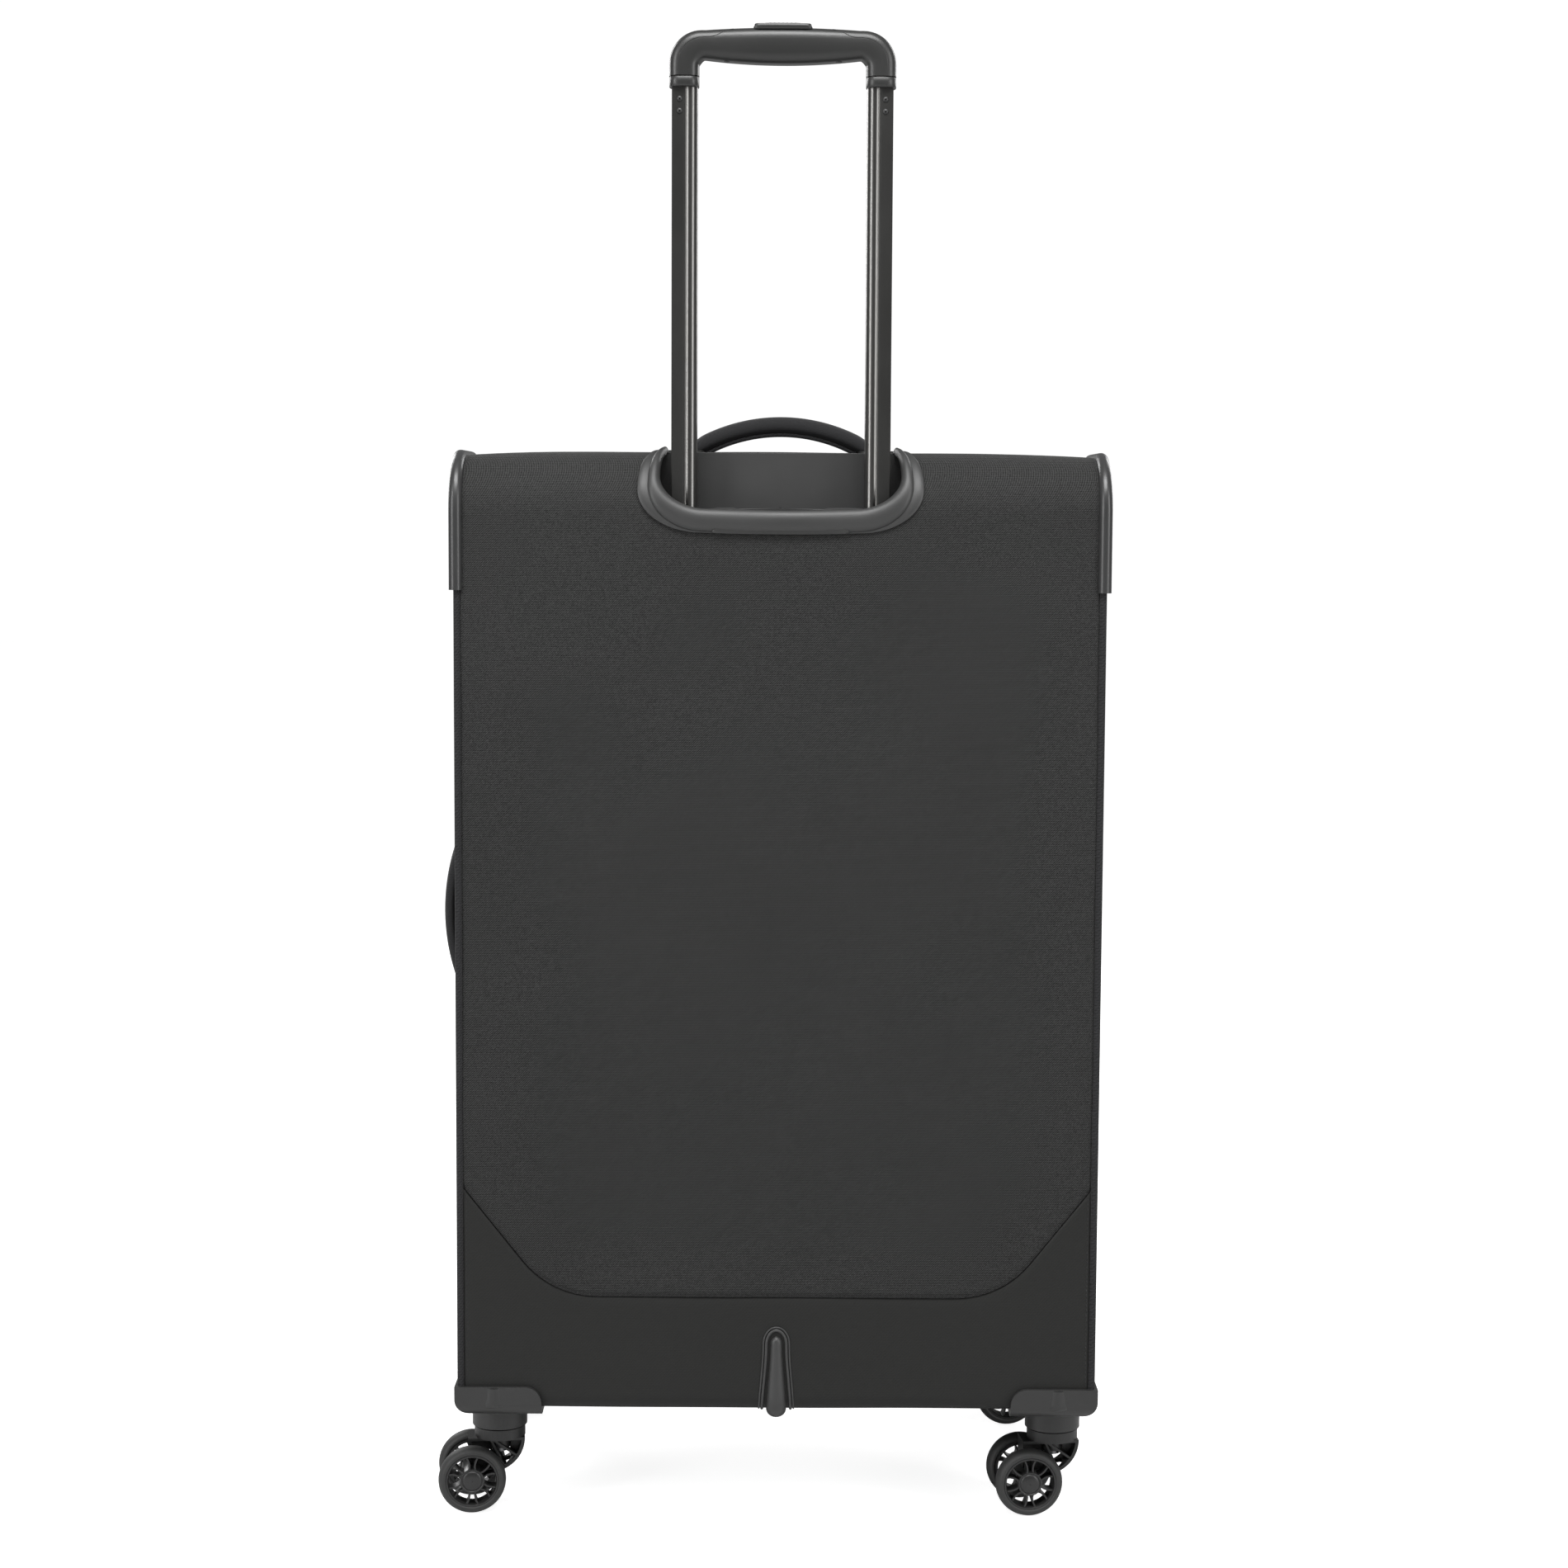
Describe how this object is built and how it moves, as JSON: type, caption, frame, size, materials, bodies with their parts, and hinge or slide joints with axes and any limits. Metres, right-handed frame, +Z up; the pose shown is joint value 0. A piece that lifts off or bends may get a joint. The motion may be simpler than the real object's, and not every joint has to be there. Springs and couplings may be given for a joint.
{
  "type": "softside upright suitcase",
  "caption": "Large softside upright suitcase on twin-wheel swivel casters, with a locking telescopic trolley handle, carry handles, a zipped lid and front pockets.",
  "frame": {"origin": "on the floor under the middle of the case's width, on the line midway between trolley side and lid", "axes": "+Z up, +Y towards the rear where the trolley handle is, -Y towards the lid and its pockets, +X towards the side with the side carry handle"},
  "size_m": [0.4975, 0.3279, 1.092],
  "materials": {
    "twill_fabric": "600-denier polyester twill, charcoal black, matt",
    "coated_fabric": "smooth coated polyester, charcoal black, faint sheen",
    "piping_tape": "ribbed woven tape over cord, black",
    "zip_tape": "nylon coil zip on woven tape, black",
    "lining": "plain woven polyester lining, dark grey",
    "handle_fabric": "padded twill with bound edges, charcoal black",
    "guard_plastic": "semi-gloss moulded polypropylene, charcoal",
    "moulded_plastic": "fine-grained moulded polypropylene, charcoal",
    "grip_plastic": "satin moulded nylon, charcoal",
    "button_plastic": "matt moulded nylon, black",
    "fork_plastic": "matt moulded nylon, black",
    "hub_plastic": "semi-gloss moulded nylon, black",
    "tyre_rubber": "soft matt thermoplastic rubber, dark grey",
    "tube_metal": "anodised gunmetal aluminium, matt outside, bright rounded inside",
    "steel": "plated steel",
    "board": "extruded polyethylene board, grey",
    "slider_metal": "dark gunmetal die-cast zinc"
  },
  "bodies": {
    "case": {"rear_panel": "twill_fabric", "lower_panel": "coated_fabric", "top_panel": "twill_fabric", "bottom_panel": "coated_fabric", "side_panels": "twill_fabric", "piping": "piping_tape", "corner_guards": "guard_plastic", "frame_wires": "steel", "back_board": "board", "back_lining": "lining", "handle_recess": "moulded_plastic", "outer_tubes": "tube_metal", "tube_bracket": "moulded_plastic", "skid": "moulded_plastic", "wheel_housings": "moulded_plastic", "kingpins": "steel", "handle_anchors": "handle_fabric", "case_zip": "zip_tape"},
    "trolley": {"inner_tubes": "tube_metal", "grip_cover": "grip_plastic", "grip_base": "grip_plastic", "grip_collars": "grip_plastic", "tube_rivets": "steel", "button_spring": "steel"},
    "release_button": {"button": "button_plastic", "push_rods": "steel"},
    "bolt_left": {"lock_bolt_left": "steel"},
    "bolt_right": {"lock_bolt_right": "steel"},
    "top_carry_handle": {"top_handle": "handle_fabric"},
    "side_carry_handle": {"side_handle": "handle_fabric"},
    "lid": {"lid_shell": "twill_fabric", "upper_pocket": "twill_fabric", "lower_pocket": "twill_fabric", "lid_zips": "zip_tape"},
    "upper_slider": {"main_slider_upper": "slider_metal"},
    "lower_slider": {"main_slider_lower": "slider_metal"},
    "upper_tab": {"pull_tab_upper": "slider_metal"},
    "lower_tab": {"pull_tab_lower": "slider_metal"},
    "upper_pocket_slider": {"pocket_slider_upper": "slider_metal"},
    "lower_pocket_slider": {"pocket_slider_lower": "slider_metal"},
    "caster_rear_right": {"fork_rear_right": "fork_plastic"},
    "wheel_rear_right_outer": {"hub_rear_right_outer": "hub_plastic", "tyre_rear_right_outer": "tyre_rubber"},
    "wheel_rear_right_inner": {"hub_rear_right_inner": "hub_plastic", "tyre_rear_right_inner": "tyre_rubber"},
    "caster_rear_left": {"fork_rear_left": "fork_plastic"},
    "wheel_rear_left_outer": {"hub_rear_left_outer": "hub_plastic", "tyre_rear_left_outer": "tyre_rubber"},
    "wheel_rear_left_inner": {"hub_rear_left_inner": "hub_plastic", "tyre_rear_left_inner": "tyre_rubber"},
    "caster_front_right": {"fork_front_right": "fork_plastic"},
    "wheel_front_right_outer": {"hub_front_right_outer": "hub_plastic", "tyre_front_right_outer": "tyre_rubber"},
    "wheel_front_right_inner": {"hub_front_right_inner": "hub_plastic", "tyre_front_right_inner": "tyre_rubber"},
    "caster_front_left": {"fork_front_left": "fork_plastic"},
    "wheel_front_left_outer": {"hub_front_left_outer": "hub_plastic", "tyre_front_left_outer": "tyre_rubber"},
    "wheel_front_left_inner": {"hub_front_left_inner": "hub_plastic", "tyre_front_left_inner": "tyre_rubber"}
  },
  "joints": [
    {"name": "trolley_slide", "type": "slide", "parent": "case", "child": "trolley", "axis": [0, 0, 1], "range_m": [-0.301, 0]},
    {"name": "button_press", "type": "slide", "parent": "trolley", "child": "release_button", "axis": [0, 0, -1], "range_m": [0, 0.004], "stiffness_N_per_m": 900, "springref_m": -0.004, "deforming": ["button_spring"]},
    {"name": "bolt_left_draw", "type": "slide", "parent": "trolley", "child": "bolt_left", "axis": [1, 0, 0], "range_m": [0, 0.002]},
    {"name": "bolt_right_draw", "type": "slide", "parent": "trolley", "child": "bolt_right", "axis": [-1, 0, 0], "range_m": [0, 0.002]},
    {"name": "top_handle_lift", "type": "slide", "parent": "case", "child": "top_carry_handle", "axis": [0, 0, 1], "range_m": [0, 0.008]},
    {"name": "side_handle_lift", "type": "slide", "parent": "case", "child": "side_carry_handle", "axis": [1, 0, 0], "range_m": [0, 0.008]},
    {"name": "lid_hinge", "type": "hinge", "parent": "case", "child": "lid", "pos_m": [-0.2345, -0.08, 0.45], "axis": [0, 0, -1], "range_deg": [0, 150]},
    {"name": "upper_slider_run", "type": "slide", "parent": "case", "child": "upper_slider", "axis": [0, 0, 1], "range_m": [0, 0.285]},
    {"name": "lower_slider_run", "type": "slide", "parent": "case", "child": "lower_slider", "axis": [0, 0, -1], "range_m": [0, 0.27]},
    {"name": "upper_tab_swing", "type": "hinge", "parent": "upper_slider", "child": "upper_tab", "pos_m": [0.2404, -0.0802, 0.48], "axis": [0, -1, 0], "range_deg": [0, 150]},
    {"name": "lower_tab_swing", "type": "hinge", "parent": "lower_slider", "child": "lower_tab", "pos_m": [0.2404, -0.0802, 0.43], "axis": [0, -1, 0], "range_deg": [0, 150]},
    {"name": "upper_pocket_slider_run", "type": "slide", "parent": "lid", "child": "upper_pocket_slider", "axis": [-1, 0, 0], "range_m": [0, 0.34]},
    {"name": "lower_pocket_slider_run", "type": "slide", "parent": "lid", "child": "lower_pocket_slider", "axis": [-1, 0, 0], "range_m": [0, 0.364]},
    {"name": "swivel_rear_right", "type": "hinge", "parent": "case", "child": "caster_rear_right", "pos_m": [0.208, 0.111, 0.06], "axis": [0, 0, 1], "continuous": true},
    {"name": "roll_rear_right_outer", "type": "hinge", "parent": "caster_rear_right", "child": "wheel_rear_right_outer", "pos_m": [0.22679, 0.13309, 0.0252], "axis": [-0.1045, 0.9945, 0], "continuous": true},
    {"name": "roll_rear_right_inner", "type": "hinge", "parent": "caster_rear_right", "child": "wheel_rear_right_inner", "pos_m": [0.23098, 0.0933, 0.0252], "axis": [-0.1045, 0.9945, 0], "continuous": true},
    {"name": "swivel_rear_left", "type": "hinge", "parent": "case", "child": "caster_rear_left", "pos_m": [-0.208, 0.111, 0.06], "axis": [0, 0, 1], "continuous": true},
    {"name": "roll_rear_left_outer", "type": "hinge", "parent": "caster_rear_left", "child": "wheel_rear_left_outer", "pos_m": [-0.18921, 0.13309, 0.0252], "axis": [-0.1045, 0.9945, 0], "continuous": true},
    {"name": "roll_rear_left_inner", "type": "hinge", "parent": "caster_rear_left", "child": "wheel_rear_left_inner", "pos_m": [-0.18502, 0.0933, 0.0252], "axis": [-0.1045, 0.9945, 0], "continuous": true},
    {"name": "swivel_front_right", "type": "hinge", "parent": "case", "child": "caster_front_right", "pos_m": [0.208, -0.108, 0.06], "axis": [0, 0, 1], "continuous": true},
    {"name": "roll_front_right_outer", "type": "hinge", "parent": "caster_front_right", "child": "wheel_front_right_outer", "pos_m": [0.22679, -0.08591, 0.0252], "axis": [-0.1045, 0.9945, 0], "continuous": true},
    {"name": "roll_front_right_inner", "type": "hinge", "parent": "caster_front_right", "child": "wheel_front_right_inner", "pos_m": [0.23098, -0.1257, 0.0252], "axis": [-0.1045, 0.9945, 0], "continuous": true},
    {"name": "swivel_front_left", "type": "hinge", "parent": "case", "child": "caster_front_left", "pos_m": [-0.208, -0.108, 0.06], "axis": [0, 0, 1], "continuous": true},
    {"name": "roll_front_left_outer", "type": "hinge", "parent": "caster_front_left", "child": "wheel_front_left_outer", "pos_m": [-0.18921, -0.08591, 0.0252], "axis": [-0.1045, 0.9945, 0], "continuous": true},
    {"name": "roll_front_left_inner", "type": "hinge", "parent": "caster_front_left", "child": "wheel_front_left_inner", "pos_m": [-0.18502, -0.1257, 0.0252], "axis": [-0.1045, 0.9945, 0], "continuous": true}
  ],
  "couplings": [
    {"joint": "bolt_left_draw", "follows": "button_press", "ratio": 0.5},
    {"joint": "bolt_right_draw", "follows": "button_press", "ratio": 0.5}
  ]
}
